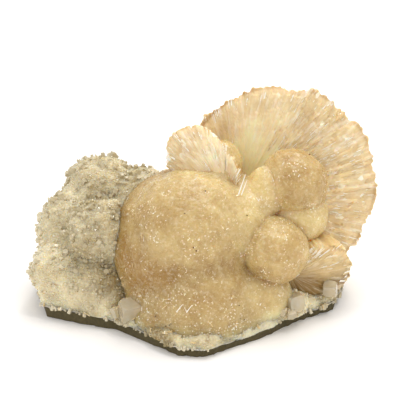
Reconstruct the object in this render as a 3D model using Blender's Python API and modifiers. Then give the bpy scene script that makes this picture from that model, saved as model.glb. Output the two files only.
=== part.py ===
"""A stilbite specimen: cream fans and balls of blade crystals that grew together on a crust of druse.

Units are metres and +Z is up. The origin is the middle of the flat spot that the specimen rests on. +X runs
to the viewer's right along the longest side, and the viewer looks along +Y at the open face of the tall fan.
"""

import math
import random

import bmesh
import bpy
from mathutils import Matrix, Vector

MM = 0.001

# The resting spot and the underside, which lifts away from the table all round it
FLAT_SPOT_RADII = (20 * MM, 22 * MM)
UNDERSIDE_SLOPE = 0.35
UNDERSIDE_RISE = 3 * MM
UNDERSIDE_ROUGHNESS = 0.4 * MM
UNDERSIDE_SQUARES = 20
UNDERSIDE_SEED = 11
CUTTER_REACH = 0.2

# The crust that carries the stilbite: its outline seen from above, and the lumps that stand on it
CRUST_OUTLINE = [
    (-52, -9), (-38, -14), (-28, -17), (-17, -26), (-8, -33), (0, -34), (9, -28), (20, -21),
    (29, -13), (37, -8), (43, -4), (46, 8), (42, 22), (30, 33), (8, 36), (-14, 35), (-34, 37),
    (-50, 28), (-56, 10),
]
CRUST_TOP = 6 * MM
CRUST_BOTTOM = -1 * MM
LUMPS = [
    # centre (mm), radii (mm)
    ((-34, 19, 31), (13, 13, 14)),
    ((-42, 12, 22), (12.5, 12.5, 13.5)),
    ((-32, 1, 26), (11.5, 11, 10.5)),
    ((-46.5, 0, 12), (10, 11, 11)),
    ((-34, -5, 9.5), (13, 10, 9.5)),
    ((-22, 16, 29), (12, 13, 12)),
    ((-20, 24, 14), (17, 12, 15)),
    ((10, 25, 13), (22, 11, 14)),
    ((31, 14, 9), (17, 15, 10)),
    ((24, -10, 6), (10, 8, 5)),
    ((33, 4, 6), (10, 8, 5)),
]
CRUST_VOXEL = 4.5 * MM
CRUST_WAVINESS = 1.2 * MM
WAVE_SPACING = 8 * MM
SOFTENING_PASSES = 2

# The druse: small crystals standing close together all over the crust
DRUSE_HEIGHT = (0.3 * MM, 2.2 * MM)
DRUSE_LEAN = 0.7 * MM
DRUSE_SHIFT = 0.8 * MM
DRUSE_LOWEST = 1.5 * MM
DRUSE_MOST_OVERHUNG = -0.6
DRUSE_SHORTEST = 0.1
DRUSE_SEED = 21

# The stilbite, whose foot is cut level in the crust
FOOT_HEIGHT = 4.5 * MM
SEAT_GAP = 0.4 * MM

BALLS = {
    # name: centre (mm), radii (mm), faces along a cube's edge before it is rounded
    "great_ball": ((-5.5, 2, 20.7), (25, 25, 25), 9),
    "cap_ball": ((-4.5, -4, 29.5), (19.5, 19.5, 19), 8),
    "left_foot": ((-14, -11, 10), (11, 10.5, 10), 5),
    "front_foot": ((-1, -8, 0), (21, 23, 30), 7),
    "right_foot": ((14, -12, 10), (14, 11, 10.5), 5),
    "saddle": ((12, 4, 30), (13, 13, 13), 4),
    "upper_ball": ((28.3, 4, 41.6), (11, 11, 11), 5),
    "upper_knob": ((21, 2, 40), (6.5, 8, 8.5), 4),
    "middle_ball": ((30, 2, 31), (10, 10, 9), 5),
    "front_ball": ((22, -9, 24.3), (11, 11, 11), 5),
    "back_ball": ((-10, 22, 28), (11, 11, 10), 4),
    "rear_ball": ((6, 31, 22), (9, 9, 9), 4),
}
BLADE_END_RELIEF = 0.25 * MM
BLADE_END_WANDER = 0.4
CREASE_ANGLE = math.radians(16)

FANS = {
    # every length in mm, every angle in degrees; turns run anticlockwise on the fan's face, from its right
    "tall_fan": dict(
        centre=(24.4, 10, 39), facing=(0, 18), radius=31.2, stretch=1, stretch_turn=0,
        hinge=(-13, -5), hinge_depth=5, roll=1.2, bulge=4, bulge_towards=-30, back_depth=20,
        blades=68, rings=5, ridge=0.4, teeth=0.6, lobes=10, lobe_turn=30, lobe_depth=0.02,
    ),
    "side_fan": dict(
        centre=(-0.5, 3, 48), facing=(-15, 20), radius=9.6, stretch=1.4, stretch_turn=128,
        hinge=(9, -10), hinge_depth=1, roll=1.0, bulge=3, bulge_towards=128, back_depth=9,
        blades=32, rings=3, ridge=0.3, teeth=0.4, lobes=8, lobe_turn=0, lobe_depth=0.02,
    ),
    "right_sheaf": dict(
        centre=(36, -6, 13.5), facing=(20, -12), radius=12, stretch=1, stretch_turn=0,
        hinge=(-9, 2), hinge_depth=0, roll=0.4, bulge=1, bulge_towards=0, back_depth=14,
        blades=28, rings=3, ridge=0.3, teeth=0.4, lobes=6, lobe_turn=0, lobe_depth=0.03,
    ),
}

# The clear blocky crystals that stand on the crust's edge: centre, size, turn about Z, lean
CLEAR_CRYSTALS = {
    "clear_crystal_left": ((-23, -18.5, 8), (6.5, 5.5, 6.5), 20, 14),
    "clear_crystal_middle": ((28, -14, 8.5), (5.5, 5.5, 5), 35, -12),
    "clear_crystal_right": ((40.5, -6.5, 9), (4.5, 3.5, 5), -15, 18),
}
CLEAR_GAP = 0.35 * MM
CORNER_CUT = 0.22

# Faces thinner than this, left where two shapes meet, are closed up
HAIRLINE = 0.01 * MM

# How the domed back of a fan draws in behind the rim, and how far its ribs stand out, as a share of the reach
DOME_FULLNESS = 0.8
DOME_RIBS = 0.06


def clear_scene():
    for obj in list(bpy.data.objects):
        bpy.data.objects.remove(obj)


def new_collection(name):
    collection = bpy.data.collections.new(name)
    bpy.context.scene.collection.children.link(collection)
    return collection


def mineral(name, colour, roughness, transmission=0.0, ior=1.5):
    """A plain Principled material: minerals are never metallic."""
    material = bpy.data.materials.new(name)
    material.use_nodes = True
    shader = material.node_tree.nodes["Principled BSDF"]
    shader.inputs["Base Color"].default_value = (*colour, 1)
    shader.inputs["Roughness"].default_value = roughness
    shader.inputs["Metallic"].default_value = 0.0
    shader.inputs["Transmission Weight"].default_value = transmission
    shader.inputs["IOR"].default_value = ior
    return material


def add_object(name, bm, collection, material=None):
    """Puts a finished bmesh into a new object of its own."""
    mesh = bpy.data.meshes.new(name)
    bmesh.ops.recalc_face_normals(bm, faces=bm.faces)
    bm.to_mesh(mesh)
    bm.free()
    if material:
        mesh.materials.append(material)
    obj = bpy.data.objects.new(name, mesh)
    collection.objects.link(obj)
    return obj


def as_helper(obj):
    """Cutters and the shapes that a Boolean joins are not pieces of the specimen themselves."""
    obj.hide_render = True
    obj.display_type = "WIRE"
    return obj


def add_boolean(obj, other, operation):
    modifier = obj.modifiers.new(f"{operation} {other.name}", "BOOLEAN")
    modifier.operation = operation
    modifier.object = other
    modifier.solver = "EXACT"


def evaluated_copy(obj):
    """The object's mesh as its modifiers leave it, as a bmesh."""
    bpy.context.view_layer.update()
    graph = bpy.context.evaluated_depsgraph_get()
    mesh = bpy.data.meshes.new_from_object(obj.evaluated_get(graph))
    bm = bmesh.new()
    bm.from_mesh(mesh)
    bpy.data.meshes.remove(mesh)
    return bm


def level_cutter(name, height, collection):
    """Everything below a height."""
    bm = bmesh.new()
    bmesh.ops.create_cube(bm, size=CUTTER_REACH)
    bmesh.ops.translate(bm, vec=(0, 0, height - CUTTER_REACH / 2), verts=bm.verts)
    return as_helper(add_object(name, bm, collection))


def facing_frame(azimuth, elevation):
    """Right, up and outward directions, as matrix columns, of a face that looks at the viewer's side."""
    a, e = math.radians(azimuth), math.radians(elevation)
    out = Vector((math.sin(a) * math.cos(e), -math.cos(a) * math.cos(e), math.sin(e)))
    right = Vector((math.cos(a), math.sin(a), 0))
    return Matrix((right, out.cross(right), out)).transposed()


# Stilbite

def blade_ball(name, grow, collection):
    """A ball of blades seen end on: a rounded cube whose points wander a little off the round."""
    centre, radii, faces = BALLS[name]
    rng = random.Random(name)
    bm = bmesh.new()
    bmesh.ops.create_cube(bm, size=2)
    bmesh.ops.subdivide_edges(bm, edges=bm.edges[:], cuts=faces - 1, use_grid_fill=True)
    bmesh.ops.triangulate(bm, faces=bm.faces[:], quad_method="FIXED")
    wander = BLADE_END_WANDER / faces
    for vert in bm.verts:
        way = Vector([math.tan(along * math.pi / 4) + rng.uniform(-1, 1) * wander for along in vert.co])
        way.normalize()
        step = rng.uniform(-1, 1) * BLADE_END_RELIEF + grow
        vert.co = Vector([way[i] * (radii[i] * MM + step) + centre[i] * MM for i in range(3)])
    return as_helper(add_object(name, bm, collection))


def fan(name, grow, collection):
    """A shell-shaped fan: blades run from a sunken hinge to a toothed rim, and the back is domed.

    It starts as a sphere whose front pole becomes the hinge and whose equator becomes the rim.
    """
    spec = FANS[name]
    rng = random.Random(name)
    blades = spec["blades"]
    ridges = [(1 if i % 2 else -1) * rng.uniform(0.3, 1) * spec["ridge"] for i in range(blades)]
    teeth = [rng.uniform(-1, 1) * spec["teeth"] for _ in range(blades)]
    hinge = Vector((*spec["hinge"], 0))
    lobe_turn, bulge_turn, stretch_turn = [
        math.radians(spec[key]) for key in ("lobe_turn", "bulge_towards", "stretch_turn")
    ]
    margin = grow / MM
    bm = bmesh.new()
    bmesh.ops.create_uvsphere(bm, u_segments=blades, v_segments=2 * spec["rings"], radius=1)
    bmesh.ops.triangulate(bm, faces=bm.faces[:], quad_method="FIXED")
    for vert in bm.verts:
        polar = math.acos(max(-1, min(1, vert.co.z))) / (math.pi / 2)
        turn = math.atan2(vert.co.y, vert.co.x)
        column = round(turn / math.tau * blades) % blades
        lobe = spec["lobe_depth"] * math.cos(spec["lobes"] * (turn - lobe_turn))
        longer = 1 + (spec["stretch"] - 1) * math.cos(turn - stretch_turn) ** 2
        reach = spec["radius"] * (1 + lobe) * longer + teeth[column] + margin
        rim = Vector((math.cos(turn), math.sin(turn), 0)) * reach
        if polar < 1.001:
            fullness = spec["bulge"] * (0.5 + 0.5 * math.cos(turn - bulge_turn))
            place = hinge.lerp(rim, polar)
            place.z = (margin - spec["hinge_depth"]) * (1 - polar) + fullness * math.sin(math.pi * polar)
            place.z += spec["roll"] * math.sin(math.pi * polar ** 4)
            place.z += ridges[column] * math.sin(math.pi * polar)
        else:
            past = (polar - 1) * math.pi / 2
            place = rim * math.cos(past) ** DOME_FULLNESS
            place *= 1 + DOME_RIBS * ridges[column] * math.sin(2 * past)
            place.z = -(spec["back_depth"] + margin) * math.sin(past)
        vert.co = place * MM
    turn_to_face = facing_frame(*spec["facing"])
    bmesh.ops.transform(bm, matrix=turn_to_face.to_4x4(), verts=bm.verts)
    bmesh.ops.translate(bm, vec=Vector(spec["centre"]) * MM, verts=bm.verts)
    return as_helper(add_object(name, bm, collection))


def stilbite_cluster(name, grow, helpers, collection, material):
    """Every fan and ball, grown into one solid and cut level where it is rooted in the crust."""
    shapes = [blade_ball(ball, grow, helpers) for ball in BALLS] + [fan(key, grow, helpers) for key in FANS]
    cluster = shapes[0]
    cluster.name = name
    cluster.hide_render = False
    cluster.display_type = "TEXTURED"
    helpers.objects.unlink(cluster)
    collection.objects.link(cluster)
    if material:
        cluster.data.materials.append(material)
    for shape in shapes[1:]:
        shape.name = f"{name}_{shape.name}"
        add_boolean(cluster, shape, "UNION")
    add_boolean(cluster, level_cutter(f"{name}_level_cut", FOOT_HEIGHT - grow, helpers), "DIFFERENCE")
    return cluster


# Crust

def rough_crust(helpers):
    """The crust's plate and lumps, run together by a voxel remesh into one rounded body."""
    bm = bmesh.new()
    corners = [bm.verts.new((x * MM, y * MM, CRUST_BOTTOM)) for x, y in CRUST_OUTLINE]
    raised = bmesh.ops.extrude_face_region(bm, geom=[bm.faces.new(corners)])
    top = [part for part in raised["geom"] if isinstance(part, bmesh.types.BMVert)]
    bmesh.ops.translate(bm, vec=(0, 0, CRUST_TOP - CRUST_BOTTOM), verts=top)
    for centre, radii in LUMPS:
        size = Matrix.Diagonal([r * MM for r in radii]).to_4x4()
        place = Matrix.Translation(Vector(centre) * MM) @ size
        bmesh.ops.create_icosphere(bm, subdivisions=3, radius=1, matrix=place)
    body = as_helper(add_object("rough_crust", bm, helpers))
    remesh = body.modifiers.new("Run together", "REMESH")
    remesh.mode = "VOXEL"
    remesh.voxel_size = CRUST_VOXEL
    smooth = body.modifiers.new("Soften", "SMOOTH")
    smooth.iterations = SOFTENING_PASSES
    clouds = bpy.data.textures.new("crust_waves", "CLOUDS")
    clouds.noise_scale = WAVE_SPACING
    waves = body.modifiers.new("Waves", "DISPLACE")
    waves.texture = clouds
    waves.texture_coords = "LOCAL"
    waves.strength = 2 * CRUST_WAVINESS
    return body


def druse(body, collection, material):
    """Raises a small pointed crystal on each face of the rough crust, shorter where the crust is hollow."""
    rng = random.Random(DRUSE_SEED)
    bm = evaluated_copy(body)
    for vert in bm.verts:
        vert.co += Vector([rng.uniform(-1, 1) for _ in range(3)]) * DRUSE_SHIFT
    bm.normal_update()
    for face in bm.faces[:]:
        middle, normal = face.calc_center_median(), face.normal.copy()
        if middle.z < DRUSE_LOWEST or normal.z < DRUSE_MOST_OVERHUNG:
            continue
        rise = sum((other.calc_center_median() - middle).normalized().dot(normal)
                   for edge in face.edges for other in edge.link_faces if other != face)
        height = rng.uniform(*DRUSE_HEIGHT) * max(DRUSE_SHORTEST, 1 - max(0, rise))
        lean = Vector([rng.uniform(-1, 1) for _ in range(3)]) * DRUSE_LEAN
        tip = bmesh.ops.poke(bm, faces=[face])["verts"]
        bmesh.ops.translate(bm, vec=normal * height + lean, verts=tip)
    return add_object("crust", bm, collection, material)


def underside_cutter(collection):
    """What lies below the crust: it reaches above the table everywhere but at the flat spot."""
    rng = random.Random(UNDERSIDE_SEED)
    bm = bmesh.new()
    bmesh.ops.create_grid(bm, x_segments=UNDERSIDE_SQUARES, y_segments=UNDERSIDE_SQUARES, size=CUTTER_REACH / 2)
    for vert in bm.verts:
        from_spot = math.hypot(vert.co.x / FLAT_SPOT_RADII[0], vert.co.y / FLAT_SPOT_RADII[1])
        slope = min(UNDERSIDE_RISE, UNDERSIDE_SLOPE * (from_spot - 1) * min(FLAT_SPOT_RADII))
        vert.co.z = slope + rng.uniform(-1, 1) * UNDERSIDE_ROUGHNESS
    lowered = bmesh.ops.extrude_face_region(bm, geom=bm.faces[:])
    for part in lowered["geom"]:
        if isinstance(part, bmesh.types.BMVert):
            part.co.z = -CUTTER_REACH / 2
    return as_helper(add_object("underside_cut", bm, collection))


def clear_crystal(name, collection, material, grow=0.0):
    """A blocky crystal: a cube with its corners cut to small triangles."""
    centre, size, turn, lean = CLEAR_CRYSTALS[name]
    bm = bmesh.new()
    bmesh.ops.create_cube(bm, size=1)
    bmesh.ops.bevel(
        bm, geom=bm.verts[:], offset=CORNER_CUT, segments=1, profile=0.5, affect="VERTICES", material=-1,
    )
    bmesh.ops.scale(bm, vec=[s * MM + 2 * grow for s in size], verts=bm.verts)
    spin = Matrix.Rotation(math.radians(turn), 4, "Z") @ Matrix.Rotation(math.radians(lean), 4, "X")
    bmesh.ops.transform(bm, matrix=Matrix.Translation(Vector(centre) * MM) @ spin, verts=bm.verts)
    return add_object(name if not grow else f"{name}_socket", bm, collection, material)


def keep_main_piece(obj):
    """Applies the modifiers, closes hairline faces, and drops the loose chips and sealed pockets."""
    bm = evaluated_copy(obj)
    bmesh.ops.dissolve_degenerate(bm, dist=HAIRLINE, edges=bm.edges[:])
    bmesh.ops.triangulate(bm, faces=bm.faces[:])
    pieces, left = [], set(bm.verts)
    while left:
        piece, reached = set(), [left.pop()]
        while reached:
            vert = reached.pop()
            piece.add(vert)
            near = {edge.other_vert(vert) for edge in vert.link_edges} & left
            left -= near
            reached.extend(near)
        pieces.append(piece)
    for chip in sorted(pieces, key=len)[:-1]:
        bmesh.ops.delete(bm, geom=list(chip), context="VERTS")
    bm.to_mesh(obj.data)
    bm.free()
    obj.modifiers.clear()


def build():
    clear_scene()
    specimen = new_collection("stilbite_specimen")
    helpers = new_collection("cutters_and_joined_shapes")
    cream = mineral("stilbite_cream", (0.72, 0.55, 0.30), 0.45)
    pale = mineral("crust_pale", (0.55, 0.47, 0.32), 0.4)
    clear = mineral("clear_crystal", (0.9, 0.87, 0.8), 0.1, transmission=0.8, ior=1.53)

    stilbite = stilbite_cluster("stilbite", 0, helpers, specimen, cream)
    seat = as_helper(stilbite_cluster("stilbite_seat", SEAT_GAP, helpers, helpers, None))
    crust = druse(rough_crust(helpers), specimen, pale)
    for cutter in (seat, underside_cutter(helpers), level_cutter("table_cut", 0, helpers)):
        add_boolean(crust, cutter, "DIFFERENCE")
    for key in CLEAR_CRYSTALS:
        socket = as_helper(clear_crystal(key, helpers, None, CLEAR_GAP))
        add_boolean(stilbite, socket, "DIFFERENCE")
        add_boolean(crust, socket, "DIFFERENCE")
        clear_crystal(key, specimen, clear)
    keep_main_piece(stilbite)
    stilbite.data.shade_smooth()
    stilbite.data.set_sharp_from_angle(angle=CREASE_ANGLE)
    keep_main_piece(crust)


build()
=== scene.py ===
# %% [markdown]
# # A stilbite specimen
# Stilbite grows as thin pearly blades that fan out from a point, so one cluster shows scallop-shaped fans
# where the blades lie in one plane and balls where they spread every way. This one stands on a crust of
# small clear crystals. The plain solids come from the frame, and the lesson grows the fine surface on them.

# %% Load the frame
import math
import random

import bmesh
import bpy
from mathutils import Matrix, Vector, noise


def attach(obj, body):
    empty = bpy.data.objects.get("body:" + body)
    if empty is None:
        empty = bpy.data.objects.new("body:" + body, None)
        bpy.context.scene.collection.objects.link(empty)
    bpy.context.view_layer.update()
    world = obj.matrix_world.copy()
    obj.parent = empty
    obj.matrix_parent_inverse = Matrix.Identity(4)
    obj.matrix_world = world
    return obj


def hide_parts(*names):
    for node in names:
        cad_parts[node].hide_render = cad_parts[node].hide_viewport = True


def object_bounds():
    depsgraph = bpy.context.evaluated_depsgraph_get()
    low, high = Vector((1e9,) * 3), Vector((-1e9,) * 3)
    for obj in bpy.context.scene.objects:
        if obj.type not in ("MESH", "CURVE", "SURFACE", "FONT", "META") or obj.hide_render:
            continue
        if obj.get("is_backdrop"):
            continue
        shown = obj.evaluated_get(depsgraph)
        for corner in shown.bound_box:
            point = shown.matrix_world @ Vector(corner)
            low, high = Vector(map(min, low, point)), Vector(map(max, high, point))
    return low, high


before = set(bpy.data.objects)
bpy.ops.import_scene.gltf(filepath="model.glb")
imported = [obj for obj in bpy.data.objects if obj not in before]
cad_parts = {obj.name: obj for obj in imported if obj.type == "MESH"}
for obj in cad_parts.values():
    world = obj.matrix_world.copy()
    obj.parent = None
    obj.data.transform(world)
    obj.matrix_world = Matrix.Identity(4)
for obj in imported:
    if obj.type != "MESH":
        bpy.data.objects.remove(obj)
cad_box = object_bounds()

MM = 0.001
print("nodes:", sorted(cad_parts))
print("box (mm):", [round(side / MM, 1) for side in cad_box[1] - cad_box[0]])

# %% [markdown]
# ## Helpers
# Shaders take linear colours, but a colour picker gives sRGB hex values, so one function turns such a value
# into a linear colour. Another adds a node with its settings and its links in one line. Several finishes here
# are no more than two colours in soft patches, so one function makes them all.

# %% Colours, nodes and plain finishes


def colour(hex_value):
    """The linear colour, with alpha, of an sRGB hex value such as #dec390."""
    channels = [int(hex_value[i:i + 2], 16) / 255 for i in (1, 3, 5)]
    return (*[c / 12.92 if c <= 0.04045 else ((c + 0.055) / 1.055) ** 2.4 for c in channels], 1)


def set_inputs(node, inputs):
    """Gives each input a value, or links it to an output; a node stands for the first output it has in use."""
    for key, value in inputs.items():
        if isinstance(value, bpy.types.Node):
            value = next(output for output in value.outputs if output.enabled)
        if isinstance(value, bpy.types.NodeSocket):
            node.id_data.links.new(value, node.inputs[key])
        else:
            node.inputs[key].default_value = value


def add_node(tree, kind, inputs=None, **settings):
    """Adds a shader node with its settings, its values and its links."""
    node = tree.nodes.new("ShaderNode" + kind)
    for key, value in settings.items():
        setattr(node, key, value)
    set_inputs(node, inputs or {})
    return node


def new_material(name):
    """A material, its tree, the Principled shader that everything feeds, and the place on the object."""
    material = bpy.data.materials.new(name)
    material.use_nodes = True
    tree = material.node_tree
    where = add_node(tree, "TexCoord").outputs["Object"]
    return material, tree, tree.nodes["Principled BSDF"], where


def per_mm(size):
    """The scale of a pattern that repeats about once in so many mm."""
    return 1 / (size * MM)


def mottled_material(name, size, detail, low, high, finish):
    """Two colours in patches about so many mm across, and the shader's other values."""
    material, tree, shader, where = new_material(name)
    patches = add_node(tree, "TexNoise", {"Vector": where, "Scale": per_mm(size), "Detail": detail})
    tone = add_node(tree, "Mix", {"Factor": patches, "A": colour(low), "B": colour(high)}, data_type="RGBA")
    set_inputs(shader, {"Base Color": tone, **finish})
    return material


print("the sRGB value #808080 is", round(colour("#808080")[0], 3), "in linear light")

# %% [markdown]
# A piece is built as a bmesh and ends as an object at the origin that rides on the specimen. Its surface gets
# its unevenness from a smooth noise and from small random steps.

# %% Pieces and unevenness


def count_triangles(mesh):
    return sum(len(face.vertices) - 2 for face in mesh.polygons)


def new_object(name, bm, materials=()):
    mesh = bpy.data.meshes.new(name)
    bm.to_mesh(mesh)
    bm.free()
    for material in materials:
        mesh.materials.append(material)
    obj = bpy.data.objects.new(name, mesh)
    bpy.context.scene.collection.objects.link(obj)
    return obj


def finish_piece(obj, slot, *nodes):
    """The piece rides on the specimen and stands for the plain solids it covers; its slot is not used."""
    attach(obj, "root")
    if nodes:
        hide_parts(*nodes)
    print(f"{obj.name}: {count_triangles(obj.data)} triangles")


def evaluated_bmesh(obj):
    """The mesh as the object's modifiers leave it, after which the object is gone."""
    bpy.context.view_layer.update()
    graph = bpy.context.evaluated_depsgraph_get()
    mesh = bpy.data.meshes.new_from_object(obj.evaluated_get(graph))
    bm = bmesh.new()
    bm.from_mesh(mesh)
    bpy.data.meshes.remove(mesh)
    bpy.data.objects.remove(obj)
    return bm


def spots_on(faces, lowest):
    """The middles and directions of the faces that lie higher than the lowest place."""
    spots = [(face.calc_center_median(), face.normal.copy()) for face in faces]
    return [(middle, normal) for middle, normal in spots if middle.z > lowest]


def pour(bm, whole):
    """Adds one bmesh to another, and frees it."""
    mesh = bpy.data.meshes.new("poured")
    bm.to_mesh(mesh)
    bm.free()
    whole.from_mesh(mesh)
    bpy.data.meshes.remove(mesh)


def clamp(value, low=0, high=1):
    return max(low, min(high, value))


def ripple(point, size):
    """Smooth unevenness from -1 to 1, with hollows and swellings about so many mm apart."""
    return noise.noise(point / (size * MM))


def shake(rng, reach):
    """A random step of up to so many mm along each axis."""
    return Vector([rng.uniform(-1, 1) for _ in range(3)]) * reach * MM


# %% [markdown]
# ## Camera
# The camera looks down at the table at 25 degrees, far enough away that the specimen hardly narrows towards
# the back. The lens follows from how wide 347 of the picture's 416 pixels are at the specimen: 110 mm.

# %% Camera
IMAGE_SIDE = 416
CAMERA_TARGET = Vector((0.0013, 0, 0.0348))
CAMERA_DISTANCE = 0.400
CAMERA_ELEVATION = math.radians(25)
MM_PER_PIXEL = 110 / 347
SENSOR = 36

towards_camera = Vector((0, -math.cos(CAMERA_ELEVATION), math.sin(CAMERA_ELEVATION)))
camera = bpy.data.objects.new("camera", bpy.data.cameras.new("camera"))
camera.location = CAMERA_TARGET + towards_camera * CAMERA_DISTANCE
camera.rotation_euler = (-towards_camera).to_track_quat("-Z", "Y").to_euler()
camera.data.sensor_width = SENSOR
camera.data.lens = SENSOR * CAMERA_DISTANCE / (MM_PER_PIXEL * MM * IMAGE_SIDE)
bpy.context.scene.collection.objects.link(camera)
bpy.context.scene.camera = camera
print("lens:", round(camera.data.lens, 1), "mm")

# %% [markdown]
# ## The mass of balls
# Where blades spread every way they make balls. Seventeen of them grew together here, from the great ball to
# the low toes at its foot and a swelling at the foot of the tall fan. They could be joined by Booleans, but
# those leave knife-sharp creases. Rounded balls are instead wrapped in one skin by a voxel remesh and smoothed
# a little, so the creases fill in as they do in a growing crystal.

# %% The places, sizes and tones of the balls
BALLS = {
    # name: centre (mm), radii (mm), tone (0 for honey, 1 for cream)
    "great_ball": ((-5.5, 2, 20.7), (25, 25, 25), 0.05),
    "cap_ball": ((-4.5, -4, 29.5), (19.5, 19.5, 19), 0.5),
    "left_foot": ((-14, -11, 10), (11, 10.5, 10), 0.2),
    "front_foot": ((-1, -8, 0), (21, 23, 30), 0.35),
    "right_foot": ((14, -12, 10), (14, 11, 10.5), 0.6),
    "left_toe": ((-12, -17, 4), (12, 9, 7), 0.2),
    "front_toe": ((-1, -20, 3), (15, 11.5, 8.5), 0.4),
    "right_toe": ((8, -18, 4), (11, 8.5, 7), 0.4),
    "saddle": ((12, 4, 30), (13, 13, 13), 0.85),
    "slope": ((8, -4, 30), (13.5, 12, 13), 0.75),
    "fan_foot": ((6.5, 7.5, 46), (6, 7.5, 9), 0.5),
    "upper_ball": ((28.3, 4, 41.6), (11, 11, 11), 0.3),
    "upper_knob": ((21, 2, 40), (7.5, 8.2, 8.8), 0.9),
    "middle_ball": ((30, 2, 31), (10, 10, 9), 0.7),
    "front_ball": ((22, -9, 24.3), (11, 11, 11), 0.4),
    "back_ball": ((-10, 22, 28), (11, 11, 10), 0.5),
    "rear_ball": ((6, 31, 22), (9, 9, 9), 0.5),
}
CRISP_BALLS = ["upper_ball", "front_ball", "middle_ball"]
FOOT_HEIGHT = 4.5 * MM
BALL_VOXEL = 0.8 * MM
BALL_FINENESS = 5
MELTING_PASSES = 45
SOFTENING_PASSES = 8


def add_ball(bm, centre, radii, fineness):
    """An ellipsoid of triangles, with its centre and radii in mm."""
    size = Matrix.Diagonal([r * MM for r in radii]).to_4x4()
    place = Matrix.Translation(Vector(centre) * MM)
    bmesh.ops.create_icosphere(bm, subdivisions=fineness, radius=1, matrix=place @ size)


def wrapped(bm, voxel, passes):
    """One skin round everything in a bmesh, whose creases fill in more with every pass of smoothing."""
    obj = new_object("wrapped", bm)
    wrap = obj.modifiers.new("Run together", "REMESH")
    wrap.mode = "VOXEL"
    wrap.voxel_size = voxel
    soften = obj.modifiers.new("Soften the creases", "SMOOTH")
    soften.factor = 0.5
    soften.iterations = passes
    return evaluated_bmesh(obj)


def rounded_balls(names, passes):
    bm = bmesh.new()
    for centre, radii, _ in [BALLS[name] for name in names]:
        add_ball(bm, centre, radii, BALL_FINENESS)
    return wrapped(bm, BALL_VOXEL, passes)


print(len(BALLS), "balls, of which", len(CRISP_BALLS), "keep a sharp crease")

# %% [markdown]
# The skin is a net of little squares, each about as wide as a blade is thick. Each one becomes the end of a
# blade: its corners move a little, and its middle is poked up to a low point. In some patches the ends stand
# out and the ball looks frosted, in others it stays satin smooth. Most balls have melted into one mass, while
# three still show a sharp crease all round, so those are made apart and joined later.

# %% Blade ends on the balls
BLADE_END_SHIFT = 0.10
BLADE_END_HEIGHT = (0.015, 0.11)
SHORTEST_END = 0.2
FROST_PATCH = 7
FROST_CONTRAST = 1.6
SWELLINGS = [(9, 0.5), (3.6, 0.35), (1.7, 0.16)]  # how far apart and how high (mm)


def raise_points(bm, faces):
    """Pokes each face, and gives the new points with the directions in which their faces looked."""
    normals = [face.normal.copy() for face in faces]
    return zip(bmesh.ops.poke(bm, faces=faces)["verts"], normals)


def swell(bm, rng, swellings, sink, shift):
    """Moves a skin in and out smoothly, and each of its corners by a small random step."""
    bm.normal_update()
    out = {vert: sum(ripple(vert.co, size) * height for size, height in swellings) - sink for vert in bm.verts}
    for vert in bm.verts:
        vert.co += vert.normal * out[vert] * MM + shake(rng, shift)


def add_blade_ends(bm, rng):
    swell(bm, rng, SWELLINGS, 0, BLADE_END_SHIFT)
    bm.normal_update()
    low, high = BLADE_END_HEIGHT
    for tip, normal in raise_points(bm, bm.faces[:]):
        frost = clamp(0.5 + FROST_CONTRAST * ripple(tip.co, FROST_PATCH))
        height = (low + (high - low) * frost) * rng.uniform(SHORTEST_END, 1)
        tip.co += normal * height * MM + shake(rng, height)


melted = rounded_balls([name for name in BALLS if name not in CRISP_BALLS], MELTING_PASSES)
bmesh.ops.bisect_plane(
    melted, geom=melted.verts[:] + melted.edges[:] + melted.faces[:], dist=1e-7,
    plane_co=(0, 0, FOOT_HEIGHT), plane_no=(0, 0, -1), clear_outer=True,
)
bmesh.ops.holes_fill(melted, edges=[edge for edge in melted.edges if edge.is_boundary], sides=0)
crisp = [rounded_balls([name], SOFTENING_PASSES) for name in CRISP_BALLS]
for index, bm in enumerate([melted, *crisp]):
    add_blade_ends(bm, random.Random(f"balls {index}"))
print("ball mass:", len(melted.faces), "faces")
print("separate balls:", sum(len(bm.faces) for bm in crisp), "faces")

# %% [markdown]
# ## The fans
# A fan is a sheaf of blades seen from the side: they run from a sunken hinge to a toothed rim, and the back
# is domed. A fan could be a flat disc with a pattern on it, but its rim and its steps show against the light.
# So it starts as a sphere of narrow columns, whose front pole becomes the hinge and whose equator becomes
# the rim. Every few columns are one blade, with its own height and its own ends. The sizes are those of the
# solids, except that the side fan faces the viewer a little more.

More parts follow.
